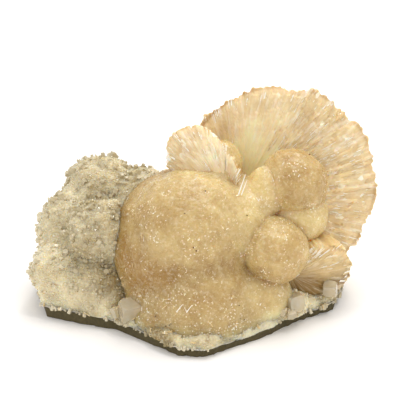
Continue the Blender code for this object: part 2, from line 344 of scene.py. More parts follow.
# %% The fans' sizes
FANS = {
    # every length in mm, every angle in degrees; turns run anticlockwise on the fan's face, from its right
    "tall_fan": dict(
        centre=(24.4, 10, 39), facing=(0, 18), radius=31.2, stretch=1, stretch_turn=0,
        hinge=(-13, -5), hinge_depth=5, roll=1.2, bulge=4, bulge_towards=-30, back_depth=20,
        blades=68, ridge=0.4, teeth=0.6, lobes=10, lobe_turn=30, lobe_depth=0.02,
        fine_blades=124, rings=56, back_rings=24, rough_towards=5,
        layers=[(0.93, 0.04, 0.6), (0.80, 0.08, 0.5), (0.64, 0.14, 0.35)],
    ),
    "side_fan": dict(
        centre=(-0.5, 3, 48), facing=(-7, 20), radius=9.6, stretch=1.4, stretch_turn=128,
        hinge=(7.8, -8.8), hinge_depth=1, roll=1.0, bulge=3, bulge_towards=128, back_depth=9,
        blades=32, ridge=0.3, teeth=0.4, lobes=8, lobe_turn=0, lobe_depth=0.02,
        fine_blades=52, rings=26, back_rings=12, rough_towards=128,
        layers=[(0.9, 0.1, 0.3), (0.7, 0.2, 0.25)],
    ),
    "right_sheaf": dict(
        centre=(36, -6, 13.5), facing=(20, -12), radius=12, stretch=1, stretch_turn=0,
        hinge=(-9, 2), hinge_depth=0, roll=0.4, bulge=1, bulge_towards=0, back_depth=14,
        blades=28, ridge=0.3, teeth=0.4, lobes=6, lobe_turn=0, lobe_depth=0.03,
        fine_blades=44, rings=26, back_rings=16, rough_towards=60,
        layers=[(0.92, 0.06, 0.25), (0.6, 0.25, 0.2)],
    ),
}
COLUMNS_PER_BLADE = 3
DOME_FULLNESS = 0.8
DOME_RIBS = 0.06
RIDGE_SHARE = 0.35
BLADE_STEP = 0.06
BLADE_CROWN = 0.05
SMOOTH_SIDE = 0.12
TOOTH = (-0.5, 0.7)
FRONT_SHAKE = 0.04
BACK_SHAKE = 0.12


def facing_frame(azimuth, elevation):
    """Right, up and outward directions, as matrix columns, of a face that looks at the viewer's side."""
    a, e = math.radians(azimuth), math.radians(elevation)
    out = Vector((math.sin(a) * math.cos(e), -math.cos(a) * math.cos(e), math.sin(e)))
    right = Vector((math.cos(a), math.sin(a), 0))
    return Matrix((right, out.cross(right), out)).transposed()


def around(values, turn):
    """The value at a turn, between the two nearest of a ring of values."""
    place = turn / math.tau * len(values)
    step = math.floor(place)
    here, after = values[step % len(values)], values[(step + 1) % len(values)]
    return here + (after - here) * (place - step)


def fan_surface(name):
    """A function that finds a point from its turn and its share of the way out; above 1 it is on the back."""
    spec = FANS[name]
    rng = random.Random(name)
    ridges = [
        (1 if i % 2 else -1) * rng.uniform(0.3, 1) * spec["ridge"] * RIDGE_SHARE for i in range(spec["blades"])
    ]
    teeth = [rng.uniform(-1, 1) * spec["teeth"] for _ in range(spec["blades"])]
    blades = range(spec["fine_blades"])
    lift = [rng.uniform(-1, 1) * BLADE_STEP for _ in blades]
    tooth = [rng.uniform(*TOOTH) for _ in blades]
    ends = [
        [(mean + rng.uniform(-1, 1) * spread, step) for _ in blades] for mean, spread, step in spec["layers"]
    ]
    hinge = Vector((*spec["hinge"], 0))
    lobe_turn, bulge_turn, stretch_turn, rough_turn = [
        math.radians(spec[key]) for key in ("lobe_turn", "bulge_towards", "stretch_turn", "rough_towards")
    ]
    frame_of_face = facing_frame(*spec["facing"])
    centre = Vector(spec["centre"])

    def place(turn, polar):
        along = turn / math.tau * spec["fine_blades"]
        blade = math.floor(along) % spec["fine_blades"]
        crown = 1 - (2 * (along - math.floor(along)) - 1) ** 2
        rough = SMOOTH_SIDE + (1 - SMOOTH_SIDE) * (0.5 + 0.5 * math.cos(turn - rough_turn)) ** 1.5
        lobe = spec["lobe_depth"] * math.cos(spec["lobes"] * (turn - lobe_turn))
        longer = 1 + (spec["stretch"] - 1) * math.cos(turn - stretch_turn) ** 2
        reach = spec["radius"] * (1 + lobe) * longer + around(teeth, turn) + tooth[blade] * crown
        rim = Vector((math.cos(turn), math.sin(turn), 0)) * reach
        share = min(polar, 1)
        drop = sum(step * rough for end, step in (layer[blade] for layer in ends) if share > end)
        drop -= (lift[blade] * rough + BLADE_CROWN * rough * crown) * min(1, 2 * share)
        if polar <= 1:
            fullness = spec["bulge"] * (0.5 + 0.5 * math.cos(turn - bulge_turn))
            point = hinge.lerp(rim, polar)
            point.z = -spec["hinge_depth"] * (1 - polar) + fullness * math.sin(math.pi * polar)
            point.z += spec["roll"] * math.sin(math.pi * polar ** 4)
            point.z += around(ridges, turn) * math.sin(math.pi * polar) - drop
        else:
            past = (polar - 1) * math.pi / 2
            point = rim * math.cos(past) ** DOME_FULLNESS
            point *= 1 + (DOME_RIBS * around(ridges, turn) + 0.02 * lift[blade]) * math.sin(2 * past)
            point.z = -spec["back_depth"] * math.sin(past) - drop * math.cos(past)
        return (frame_of_face @ point + centre) * MM

    return place


# %% The fans' meshes


def fan_mesh(name, material_index):
    spec = FANS[name]
    rng = random.Random(name + " grain")
    place = fan_surface(name)
    rows = spec["rings"] + spec["back_rings"]
    columns = COLUMNS_PER_BLADE * spec["fine_blades"]
    bm = bmesh.new()
    bmesh.ops.create_uvsphere(bm, u_segments=columns, v_segments=rows, radius=1)
    for vert in bm.verts:
        row = round(math.acos(clamp(vert.co.z, -1)) / math.pi * rows)
        turn = math.atan2(vert.co.y, vert.co.x) % math.tau
        front = row <= spec["rings"]
        polar = row / spec["rings"] if front else 1 + (row - spec["rings"]) / spec["back_rings"]
        vert.co = place(turn, polar) + shake(rng, FRONT_SHAKE if front else BACK_SHAKE)
    for face in bm.faces:
        face.material_index = material_index
    print(f"{name}: {len(bm.faces)} faces")
    return bm


# %% [markdown]
# ## Honey and cream
# The balls grew at their own pace, so some are honey coloured and others cream, with a clear edge where they
# meet, and the dark honey of the great ball, seen along its left side, is partly painted shade. A noise
# texture has no such edges. Each point of the skin is therefore given the tone of the ball
# whose surface passes nearest, and the shader reads it as an attribute. A second attribute tells where the
# blade ends stand apart and look frosted. The fans get their own tones, with a thin darker edge along the rim.

# %% A tone for every point
FAN_TONES = {
    # finish: (fan, tone near the hinge, tone at the rim, painted shade towards its lower side)
    # the tall fan's paler hinge is partly painted glow, for light shining through the thin fan
    1: ("tall_fan", 1.0, 0.55, 0), 2: ("side_fan", 0.65, 0.45, 0), 3: ("right_sheaf", 0.4, 0.75, -1.5),
}
STILBITE_TONE_AND_SHADE_SPOTS = [
    # centre (mm), radius (mm), how much paler than the rest; the darker spots under the cap ball and low on
    # the front ball are painted shade
    ((6.4, 15.2, 55), 9, -0.35), ((13, 14, 50), 9, 0.4), ((22, 10, 45), 9, 0.3), ((33, 8, 60), 9, 0.2),
    ((-5, -16, 44), 11, -0.15), ((-10, -24, 21), 9, -0.15), ((3, 0, 53), 12, 0.3), ((20, 14, 62), 12, 0.2),
    ((-17, -15, 39), 9, -0.3), ((20, -17, 17), 8, -0.3), ((21, -19, 6), 6, 0.8), ((29, -5, 36), 6, 0.2),
]
FROSTED_SPOTS = [
    # centre (mm), radius (mm)
    ((23.5, -14.8, 33.4), 5), ((35.9, -5.6, 33.1), 6), ((28, -4, 50), 6), ((-6, -26, 14), 10),
    ((-22, -10, 42), 7), ((8, -26, 8), 11), ((-18, -22, 10), 9), ((-2, -29, 8), 9), ((-2, -22, 34), 9),
    ((17, -4, 40), 6),
]
BLEND = 0.9
CREASE_WIDTH = 1.3
RIM_BAND = 0.03
RIM_MIDDLE = 0.5
RIM_HEIGHT = 2.6
RIM_DARKENING = 0.9
HINGE_SHARE = 0.4
SHADE_BELOW_START = 0.25


def frost_at(point):
    """How frosted the balls are at a point, from 0 to 1."""
    spots = [1 - (point / MM - Vector(centre)).length / radius for centre, radius in FROSTED_SPOTS]
    return max(0, min(1, max(spots) * 1.5), min(1, 0.2 + FROST_CONTRAST * ripple(point, 4)))


def ball_distance(point, centre, radii):
    """How far a point is from a ball's centre, as a share of the ball's radii."""
    return math.hypot(*[(point[i] / MM - centre[i]) / radii[i] for i in range(3)])


def crease_at(point):
    """Whether two balls meet at a point: from 0 in the open to 1 in a crease."""
    gaps = sorted(
        abs(ball_distance(point, centre, radii) - 1) * min(radii) for centre, radii, _ in BALLS.values()
    )
    return max(0, 1 - gaps[1] / CREASE_WIDTH)


def ball_tone(point):
    """The tones of the balls near a point, each counting for less the farther away its surface is."""
    total = weights = 0
    for centre, radii, tone in BALLS.values():
        off_surface = abs(ball_distance(point, centre, radii) - 1) * min(radii)
        weight = math.exp(-off_surface / BLEND) + 1e-9
        total += weight * tone
        weights += weight
    return total / weights


def on_fan(point, name):
    """A point in the fan's own frame (mm), its turn there, and its share of the way out."""
    spec = FANS[name]
    local = facing_frame(*spec["facing"]).transposed() @ (point / MM - Vector(spec["centre"]))
    turn = math.atan2(local.y, local.x)
    longer = 1 + (spec["stretch"] - 1) * math.cos(turn - math.radians(spec["stretch_turn"])) ** 2
    return local, turn, math.hypot(local.x, local.y) / spec["radius"] / longer


def fan_tone(point, name, near, far, lower_side_shade):
    """Fades from one tone to the other from the hinge to the rim, whose thin edge is darker, and adds painted
    shade below.
    """
    spec = FANS[name]
    local, _, share = on_fan(point, name)
    edge = max(0, 1 - abs(share - 1) / RIM_BAND) * max(0, 1 - abs(local.z - RIM_MIDDLE) / RIM_HEIGHT)
    away = math.dist((local.x, local.y), spec["hinge"]) / spec["radius"]
    fade = clamp((away - HINGE_SHARE) / (1 - HINGE_SHARE))
    # painted shade: a fan is darkened towards its lower side, which looks away from the overhead light
    painted_shade_below = max(0, SHADE_BELOW_START - local.y / spec["radius"]) * lower_side_shade
    return near + (far - near) * fade - RIM_DARKENING * edge + painted_shade_below


def spot_tone(point, spots):
    """What a list of soft round spots adds at a point."""
    return sum(
        change * max(0, 1 - (point / MM - Vector(centre)).length / radius) for centre, radius, change in spots
    )


def fan_grain(point, name):
    """How far the blade ends stand apart: from 0 on a fan's smooth side to 1 on its rough side."""
    _, turn, share = on_fan(point, name)
    side = 0.5 + 0.5 * math.cos(turn - math.radians(FANS[name]["rough_towards"]))
    return clamp(FROST_CONTRAST * side * (share - 0.25))


def add_tones(bm):
    tones = bm.verts.layers.float.new("tone")
    grains = bm.verts.layers.float.new("grain")
    for vert in bm.verts:
        part = vert.link_faces[0].material_index
        if part:
            vert[tones] = fan_tone(vert.co, *FAN_TONES[part]) + spot_tone(vert.co, STILBITE_TONE_AND_SHADE_SPOTS)
            vert[grains] = fan_grain(vert.co, FAN_TONES[part][0])
        else:
            vert[tones] = ball_tone(vert.co) + spot_tone(vert.co, STILBITE_TONE_AND_SHADE_SPOTS)
            vert[grains] = frost_at(vert.co)


# %% [markdown]
# ## Stilbite's finish
# Stilbite is a translucent cream mineral, pearly on its broad faces. Most of what the eye sees is light that
# went in and came out again a few millimetres on, so the shader is nearly all subsurface scattering, which
# reaches further for red than for blue and warms the shadows. Small patches of its colour are paler, where
# blade ends are frosted; there sparse near-white cells are painted glints, and pale streaks along the blades
# are partly painted sheen. Its index of refraction is 1.50.

# %% Stilbite's materials
STILBITE_IOR = 1.50
SCATTER_RATIO = (1.0, 0.72, 0.40)


def cloudy_tone(tree, where, low, high, spread):
    """The tone of the place, with soft clouds over it, as a colour between two hex values."""
    clouds = add_node(tree, "TexNoise", {"Vector": where, "Scale": per_mm(6), "Detail": 6, "Roughness": 0.66})
    cloudy = add_node(tree, "MapRange", {
        "Value": clouds, "From Min": 0.3, "From Max": 0.7, "To Min": -spread, "To Max": spread,
    })
    tone = add_node(tree, "Attribute", attribute_name="tone")
    shade = add_node(tree, "Math", {0: tone.outputs["Fac"], 1: cloudy}, operation="ADD")
    return add_node(tree, "Mix", {"Factor": shade, "A": colour(low), "B": colour(high)}, data_type="RGBA")


def fan_space(tree, where, fan):
    """Places on a fan's face: steps round it, about three to two blades, and the distance from its hinge."""
    spec = FANS[fan]
    turned = facing_frame(*spec["facing"])
    hinge = turned @ Vector((*spec["hinge"], 0)) + Vector(spec["centre"])
    local = add_node(tree, "Mapping", {
        "Vector": where, "Location": hinge * MM, "Rotation": turned.to_euler(),
    }, vector_type="TEXTURE")
    split = add_node(tree, "SeparateXYZ", {"Vector": local}).outputs
    turn = add_node(tree, "Math", {0: split["Y"], 1: split["X"]}, operation="ARCTAN2")
    across = add_node(tree, "Math", {0: turn, 1: spec["fine_blades"] / 4}, operation="MULTIPLY")
    length = add_node(tree, "VectorMath", {0: local}, operation="LENGTH")
    return across, length


def drawn_out(tree, across, length, size):
    """The place for a pattern that is as narrow as the blades and repeats along them in so many mm."""
    along = add_node(tree, "Math", {0: length, 1: per_mm(size)}, operation="MULTIPLY")
    return add_node(tree, "CombineXYZ", {"X": across, "Y": along})


def stilbite_material(name, reach, pale, deep, frost, fan=None):
    """Cream to honey as each ball has it, fine fibres where it is a fan, and painted sheen and glints in pale
    streaks and cells.
    """
    material, tree, shader, where = new_material(name)
    body = cloudy_tone(tree, where, deep, pale, 0.22)
    fine = add_node(tree, "TexNoise", {"Vector": where, "Scale": per_mm(0.45), "Detail": 3})
    if fan:
        across, length = fan_space(tree, where, fan)
        streaks = {"Vector": drawn_out(tree, across, length, 9), "Scale": 1.0, "Detail": 3, "Roughness": 0.6}
        brightest, most = 0.72, 0.5
        mosaic = {"Vector": drawn_out(tree, across, length, 2.2), "Scale": 1.0}
    else:
        streaks = {"Vector": where, "Scale": per_mm(1.1), "Detail": 4, "Roughness": 0.65}
        brightest, most = 0.75, 0.32
        mosaic = {"Vector": where, "Scale": per_mm(0.4)}
    grain = add_node(tree, "TexNoise", streaks)
    # pale streaks: partly the colour of fibres, partly painted sheen
    pale_streaks_and_sheen = add_node(tree, "MapRange", {"Value": grain, "From Min": 0.50, "From Max": brightest, "To Max": most})
    cells = add_node(tree, "TexVoronoi", mosaic)
    chance = add_node(tree, "SeparateXYZ", {"Vector": cells.outputs["Color"]})
    frosted = add_node(tree, "Attribute", attribute_name="grain")
    # painted glints: a few mosaic cells turn near-white where the stone is frosted
    few = add_node(tree, "MapRange", {
        "Value": chance.outputs["Y"], "From Min": 0.93, "From Max": 0.95, "To Max": 0.8,
    })
    painted_glints = add_node(tree, "Math", {0: few, 1: frosted.outputs["Fac"]}, operation="MULTIPLY")
    share = add_node(tree, "Math", {0: pale_streaks_and_sheen, 1: painted_glints}, operation="MAXIMUM")
    mixed = add_node(tree, "Mix", {"Factor": share, "A": body, "B": colour(frost)}, data_type="RGBA")
    gloss = add_node(tree, "MapRange", {
        "Value": chance.outputs["X"], "From Min": 0.86, "From Max": 0.90, "To Min": 0.32, "To Max": 0.1,
    })
    bump = add_node(tree, "Bump", {"Height": fine, "Strength": 0.3, "Distance": 0.12 * MM})
    set_inputs(shader, {
        "Base Color": mixed, "Roughness": gloss, "Normal": bump, "IOR": STILBITE_IOR,
        "Subsurface Weight": 0.8, "Subsurface Radius": SCATTER_RATIO, "Subsurface Scale": reach * MM,
    })
    return material


# the last colour of each finish is the near-white of frost, of the painted glints and of the painted sheen
stilbite_finishes = [
    stilbite_material("stilbite_blade_ends", 12, "#e8d298", "#a07a38", "#fff6de"),
    # the tall fan's near-white pale colour is partly painted glow as well
    stilbite_material("stilbite_pearly_tall_fan", 1.5, "#ffebbc", "#b68e50", "#fffaec", "tall_fan"),
    stilbite_material("stilbite_pearly_side_fan", 4, "#fff0cc", "#c4a05e", "#fffaec", "side_fan"),
    stilbite_material("stilbite_pearly_sheaf", 4, "#f0d49c", "#957540", "#fff4d6", "right_sheaf"),
]
print("stilbite finishes:", [material.name for material in stilbite_finishes])

# %% [markdown]
# The mass and the fans grew into each other, so they are joined. A Boolean union drops everything inside.

# %% Join the stilbite
ENDS_LOWEST = 7 * MM
cluster = new_object("stilbite_cluster", melted, stilbite_finishes)
parts = [new_object(name, bm, stilbite_finishes) for name, bm in zip(CRISP_BALLS, crisp)]
for index, name in enumerate(FANS, start=1):
    parts.append(new_object(name, fan_mesh(name, index), stilbite_finishes))
for part in parts:
    union = cluster.modifiers.new(f"Join {part.name}", "BOOLEAN")
    union.operation = "UNION"
    union.object = part
    union.solver = "MANIFOLD"
cluster_mesh = evaluated_bmesh(cluster)
for part in parts:
    bpy.data.objects.remove(part)
add_tones(cluster_mesh)
ball_ends = spots_on([face for face in cluster_mesh.faces if face.material_index == 0], ENDS_LOWEST)
cluster = new_object("stilbite_cluster", cluster_mesh, stilbite_finishes)
finish_piece(cluster, "stilbite", "stilbite")

# %% [markdown]
# ## Single blades
# At the rim and on the rough side of a fan the blades end one by one, and their flat faces flash in the
# light. Such a blade is a bar with a chisel tip. A hair system could scatter them, but the export would drop
# it, so a loop sets each bar on the fan's own surface, pointing away from the hinge.

# %% Many small shapes
BATCH = 120


def in_batches(add_one, parts):
    """Adds many small shapes. Operators slow down as a bmesh grows, so each batch gets one of its own."""
    whole = bmesh.new()
    for start in range(0, len(parts), BATCH):
        batch = bmesh.new()
        for part in parts[start:start + BATCH]:
            add_one(batch, *part)
        pour(batch, whole)
    return whole


# %% Blades on the fans
TIP_NARROWING = 0.6
TIP_THINNING = 0.4


def add_blade(bm, foot, along, out, width, length, thickness, finish):
    """A bar of that size in mm, from its foot along a direction, with its flat face out and a chisel tip."""
    side = along.cross(out).normalized()
    out = side.cross(along)
    middle = foot + along * length / 2 * MM
    turned = Matrix((side, along, out)).transposed().to_4x4()
    size = Matrix.Diagonal((width * MM, length * MM, thickness * MM, 1))
    made = bmesh.ops.create_cube(bm, size=1, matrix=Matrix.Translation(middle) @ turned @ size)
    for vert in made["verts"]:
        if (vert.co - middle).dot(along) > 0:
            vert.co -= side * (vert.co - middle).dot(side) * TIP_NARROWING
            vert.co -= out * (vert.co - middle).dot(out) * TIP_THINNING
    for face in {face for vert in made["verts"] for face in vert.link_faces}:
        face.material_index = finish


def directions(place, turn, polar):
    """Where a point of a fan is, which way its blade runs there, and which way the face looks."""
    here = place(turn, polar)
    along = (place(turn, polar + 0.03) - place(turn, polar - 0.03)).normalized()
    beside = (place(turn + 0.04, polar) - place(turn - 0.04, polar)).normalized()
    return here, along, along.cross(beside).normalized()


BLADE_GROUPS = {
    # fan: (how many, turns (degrees), shares of the way out, widths, lengths, thickness (mm), lift (degrees))
    "tall_fan": [
        (150, (0, 360), (0.87, 0.94), (0.2, 0.5), (1.8, 2.8), 0.4, (-2, 4)),
        (900, (-85, 80), (0.40, 0.95), (0.12, 0.32), (0.8, 2.4), 0.3, (4, 16)),
        (40, (80, 230), (0.5, 0.93), (0.2, 0.4), (0.8, 1.8), 0.25, (1, 5)),
    ],
    "side_fan": [
        (60, (0, 360), (0.82, 0.93), (0.2, 0.5), (1.2, 2.2), 0.4, (-2, 6)),
        (170, (0, 360), (0.35, 0.9), (0.12, 0.35), (0.8, 2.4), 0.3, (2, 12)),
    ],
    "right_sheaf": [
        (60, (0, 360), (0.86, 0.94), (0.5, 1.0), (1.4, 2.2), 0.4, (-2, 6)),
        (120, (10, 120), (0.4, 0.92), (0.12, 0.35), (0.8, 2.6), 0.3, (2, 12)),
    ],
}
LONE_BLADES = [
    # foot (mm), tip (mm), width (mm)
    ((10.4, -7, 41.6), (12.9, -4.8, 48.6), 0.45),
    ((11.6, -7, 42.4), (13.4, -5.4, 47.0), 0.35),
    ((-8.3, -27.3, 12.6), (-6.5, -27.5, 15.2), 0.35),
    ((-5.2, -28.4, 13.1), (-3.6, -28.2, 15.4), 0.35),
]
# share of blades in the near-white finish, which is a painted glint
GLINT_WHITE_SHARE = 0.45
BUNDLE = 5
BUNDLE_SPREAD = 3.5
BLADE_SINK = 0.2
LONE_THICKNESS = 0.6
OUT_SHAKE = 0.35


def scatter_blades():
    rng = random.Random("blades")
    parts = []
    for name, groups in BLADE_GROUPS.items():
        place = fan_surface(name)
        for count, turns, polars, widths, lengths, thickness, lifts in groups:
            for index in range(count):
                if index % BUNDLE == 0:
                    middle_turn, middle_polar = rng.uniform(*turns), rng.uniform(*polars)
                turn = math.radians(middle_turn + rng.uniform(-1, 1) * BUNDLE_SPREAD)
                polar = min(polars[1], middle_polar + rng.uniform(-0.04, 0.04))
                here, along, out = directions(place, turn, polar)
                lift = math.radians(rng.uniform(*lifts))
                along = along * math.cos(lift) + out * math.sin(lift)
                out = (out + shake(rng, OUT_SHAKE) / MM).normalized()
                size = (rng.uniform(*widths), rng.uniform(*lengths), thickness)
                parts.append((here - out * BLADE_SINK * MM, along, out, *size, rng.random() < GLINT_WHITE_SHARE))
    for foot, tip, width in LONE_BLADES:
        foot, along = Vector(foot), Vector(tip) - Vector(foot)
        size = (width, along.length, LONE_THICKNESS)
        parts.append((foot * MM, along.normalized(), towards_camera, *size, True))
    return in_batches(add_blade, parts)


# Single stilbite blades are paler and glassier than the mass, since light has less stone to cross.
# The near-white second finish is a painted glint, for blade faces that flash.
blade_finishes = [
    mottled_material(name, 1.5, 2, low, high, {"Roughness": roughness, "IOR": STILBITE_IOR})
    for name, low, high, roughness in [
        ("stilbite_glassy_blades", "#dcc08a", "#f6e4b6", 0.2),
        ("stilbite_blades_painted_glint", "#fdf2d6", "#ffffff", 0.35),
    ]
]
blades = new_object("single_blades", scatter_blades(), blade_finishes)
finish_piece(blades, "stilbite")

# %% [markdown]
# A ball is made of blades too, but they point at the eye, so only their ends show: short chisel edges that
# stand in bundles. Their places are drawn by lot from the skin's own faces, more of them where the ball is
# frosted, and neighbours turn the same way because their turn is read from a slow noise. A few blades lie
# almost flat in the frosted patches, and their long faces catch the light.

# %% Blade ends that stand out of the balls, and blades that lie on them
STANDING_ENDS = 1900
STANDING_SIZE = ((0.2, 0.6), (0.8, 1.05), (0.1, 0.25))  # width, length and thickness (mm)
STANDING_SINK = 0.8
STANDING_CHANCE = 0.06  # away from frost and creases
# blade ends and lying blades in the near-white finish are painted glints
GLINT_WHITE_ENDS = 0.07
LYING_BLADES = 140
LYING_SIZE = ((0.15, 0.35), (0.6, 1.5), (0.2, 0.3))
LYING_SINK = 0.1
LYING_LIFT = (0.05, 0.3)
LYING_CHANCE = 0.1  # away from frost
GLINT_WHITE_LYING = 0.35


def standing_ends():
    rng = random.Random("ends")
    parts = []
    while len(parts) < STANDING_ENDS:
        middle, normal = rng.choice(ball_ends)
        if rng.random() > STANDING_CHANCE + frost_at(middle) * 0.5 + crease_at(middle):
            continue
        turned = ripple(middle, 4) * math.pi * 2
        flat = Matrix.Rotation(turned, 3, normal) @ normal.orthogonal().normalized()
        along = (normal + shake(rng, 0.45) / MM).normalized()
        size = [rng.uniform(*span) for span in STANDING_SIZE]
        parts.append((middle - along * STANDING_SINK * MM, along, flat, *size, rng.random() < GLINT_WHITE_ENDS))
    while len(parts) < STANDING_ENDS + LYING_BLADES:
        middle, normal = rng.choice(ball_ends)
        if rng.random() > LYING_CHANCE + frost_at(middle):
            continue
        along = Vector((0.4, 0, 1)) + shake(rng, 0.4) / MM + Vector((ripple(middle, 9) * 2, 0, 0))
        along = (along - normal * (along.dot(normal) - rng.uniform(*LYING_LIFT))).normalized()
        size = [rng.uniform(*span) for span in LYING_SIZE]
        parts.append((middle - normal * LYING_SINK * MM, along, normal, *size, rng.random() < GLINT_WHITE_LYING))
    return in_batches(add_blade, parts)


ends = new_object("standing_blade_ends", standing_ends(), blade_finishes)
finish_piece(ends, "stilbite")

# %% [markdown]
# ## The crust
# Under the stilbite lies a crust covered in druse: sugar-like crystals that stand close together. Its plate
# and lumps are wrapped in one skin as the balls were, and every square of that skin is raised to a point. The
# sizes are those of the solids, except that one lump is a little lower, and that the plate starts lower down
# so that its underside can be shaped afterwards. Towards the left the underside rises a little more.

# %% The crust's outline and lumps
CRUST_OUTLINE = [
    (-52, -9), (-38, -14), (-28, -17), (-17, -26), (-8, -33), (0, -34), (9, -28), (20, -21),
    (29, -13), (37, -8), (43, -4), (46, 8), (42, 22), (30, 33), (8, 36), (-14, 35), (-34, 37),
    (-50, 28), (-56, 10),
]
CRUST_TOP = 6 * MM
CRUST_BOTTOM = -5 * MM
LUMPS = [
    # centre (mm), radii (mm)
    ((-34, 19, 30), (13, 13, 14)),
    ((-42, 12, 22), (12.5, 12.5, 13.5)),
    ((-32, 1, 26), (11.5, 11, 10.5)),
    ((-46.5, 0, 12), (10, 11, 11)),
    ((-34, -5, 9.5), (13, 10, 9.5)),
    ((-22, 16, 29), (12, 13, 12)),
    ((-20, 24, 14), (17, 12, 15)),
    ((10, 25, 13), (22, 11, 14)),
    ((31, 14, 9), (17, 15, 10)),
    ((24, -10, 6), (10, 8, 5)),
    ((33, 4, 6), (10, 8, 5)),
]
LUMP_FINENESS = 4
CRUST_VOXEL = 1.0 * MM
CRUST_PASSES = 16
FLAT_SPOT_RADII = (20 * MM, 22 * MM)
UNDERSIDE_SLOPE = 0.35
UNDERSIDE_RISE = 3 * MM
UNDERSIDE_ROUGHNESS = 0.4 * MM
LEFT_RISE = 0.03


def underside(point):
    """How high the underside is above the table: level on the flat spot, and rising all round it."""
    from_spot = math.hypot(point.x / FLAT_SPOT_RADII[0], point.y / FLAT_SPOT_RADII[1])
    slope = min(UNDERSIDE_RISE, UNDERSIDE_SLOPE * (from_spot - 1) * min(FLAT_SPOT_RADII))
    if slope > 0:
        slope += max(0, -point.x) * LEFT_RISE
    return max(0, slope + ripple(Vector((point.x, point.y, 0)), 5) * UNDERSIDE_ROUGHNESS)


def raised_plate(bm, scale, bottom, height):
    """The crust's outline, made larger or smaller by a scale, as a plate of that height."""
    corners = [bm.verts.new((x * scale * MM, y * scale * MM, bottom)) for x, y in CRUST_OUTLINE]
    raised = bmesh.ops.extrude_face_region(bm, geom=[bm.faces.new(corners)])
    top = [part for part in raised["geom"] if isinstance(part, bmesh.types.BMVert)]
    bmesh.ops.translate(bm, vec=(0, 0, height), verts=top)


def rough_crust():
    bm = bmesh.new()
    raised_plate(bm, 1, CRUST_BOTTOM, CRUST_TOP - CRUST_BOTTOM)
    for centre, radii in LUMPS:
        add_ball(bm, centre, radii, LUMP_FINENESS)
    bmesh.ops.recalc_face_normals(bm, faces=bm.faces)
    return wrapped(bm, CRUST_VOXEL, CRUST_PASSES)


# %% The druse on the crust
CLUMPS = [(7, 1.4), (3, 0.5)]  # how far apart and how high (mm)
CLUMP_SINK = 0.2
DRUSE_HEIGHT = (0.03, 0.35)
DRUSE_SHIFT = 0.16
DRUSE_LOWEST = 1.2 * MM
DRUSE_LEAN = 0.2


def add_druse(bm, rng):
    swell(bm, rng, CLUMPS, CLUMP_SINK, DRUSE_SHIFT)
    for vert in bm.verts:
        vert.co.z = max(vert.co.z, underside(vert.co))
    bm.normal_update()
    faces = [face for face in bm.faces if face.calc_center_median().z > DRUSE_LOWEST and face.normal.z > -0.6]
    for tip, normal in raise_points(bm, faces):
        tip.co += normal * rng.uniform(*DRUSE_HEIGHT) * MM + shake(rng, DRUSE_LEAN)


CRUST_TONE_AND_SHADE_SPOTS = [
    # centre (mm), radius (mm), how much paler than the rest; darker spots in hollows and at the front edge are
    # painted shade, the pale one under the sheaf painted light
    ((-53, 4, 18), 14, 0.5), ((-46, -7, 9), 13, 0.5), ((-28, -17, 5), 9, 0.5), ((-3, -34, 3), 8, 0.3),
    ((17, -23, 4), 12, 0.8), ((-36, 12, 44), 10, -0.1), ((-37, -10, 19), 9, -0.3), ((-27, -11, 15), 7, -0.9),
    ((-44, 12, 35), 9, 0.3), ((-15, -29, 3), 8, -0.9), ((30.5, -8, 8), 9, 0.9), ((-22, 12, 40), 9, -0.2),
    ((-34, -6, 27), 9, -0.1), ((-35, 2, 38), 8, -0.5),
]
CRUST_TONE = 0.55


def add_crust_tones(bm):
    """Paler where the druse is clear along the edge and the top; darker in the hollows and at the front edge,
    as painted shade.
    """
    tones = bm.verts.layers.float.new("tone")
    for vert in bm.verts:
        vert[tones] = CRUST_TONE + spot_tone(vert.co, CRUST_TONE_AND_SHADE_SPOTS)


CLEAR_IOR = 1.53


def druse_material():
    """Sugar-like druse: greyish cream, wetter-looking than stilbite, with many small bright faces."""
    material, tree, shader, where = new_material("druse_crystal_crust")
    body = cloudy_tone(tree, where, "#9a8558", "#e9dcb8", 0.3)
    grain = add_node(tree, "TexNoise", {"Vector": where, "Scale": per_mm(1.4), "Detail": 4})
    pale = add_node(tree, "MapRange", {"Value": grain, "From Min": 0.5, "From Max": 0.7, "To Max": 0.5})
    mixed = add_node(tree, "Mix", {"Factor": pale, "A": body, "B": colour("#e9dfc0")}, data_type="RGBA")
    cells = add_node(tree, "TexVoronoi", {"Vector": where, "Scale": per_mm(1.0)})
    chance = add_node(tree, "SeparateXYZ", {"Vector": cells.outputs["Color"]})
    gloss = add_node(tree, "MapRange", {
        "Value": chance.outputs["X"], "From Min": 0.7, "From Max": 0.8, "To Min": 0.35, "To Max": 0.08,
    })
    set_inputs(shader, {
        "Base Color": mixed, "Roughness": gloss, "IOR": CLEAR_IOR,
        "Subsurface Weight": 1.0, "Subsurface Radius": (1.0, 0.8, 0.5), "Subsurface Scale": 4 * MM,
    })
    return material


# %% Small crystals on the crust
POINTS = 3600
POINTS_LOWEST = 3 * MM
POINT_WIDTH = (0.5, 2.4)
POINT_SIDES = (4, 4, 6)
POINT_BLUNTNESS = (0.25, 0.6, 0.85)
POINT_SINK = 0.08
FEWER_LARGE = 2.2
LEAST_ROOM = 0.5
ROOM_HEIGHTS = (4, 16)  # where the crust has little and full room for large points (mm)
# small points in the near-white finish: painted glints on the crust
GLINT_WHITE_POINTS = 0.05
OPEN_FACING = 0.6
OPEN_SHARE = 0.55


def inside_stilbite(point, margin):
    """Whether a point is inside one of the balls, were each of them larger by a margin (mm)."""
    return any(
        ball_distance(point, centre, [radius + margin for radius in radii]) < 1
        for centre, radii, _ in BALLS.values()
    )


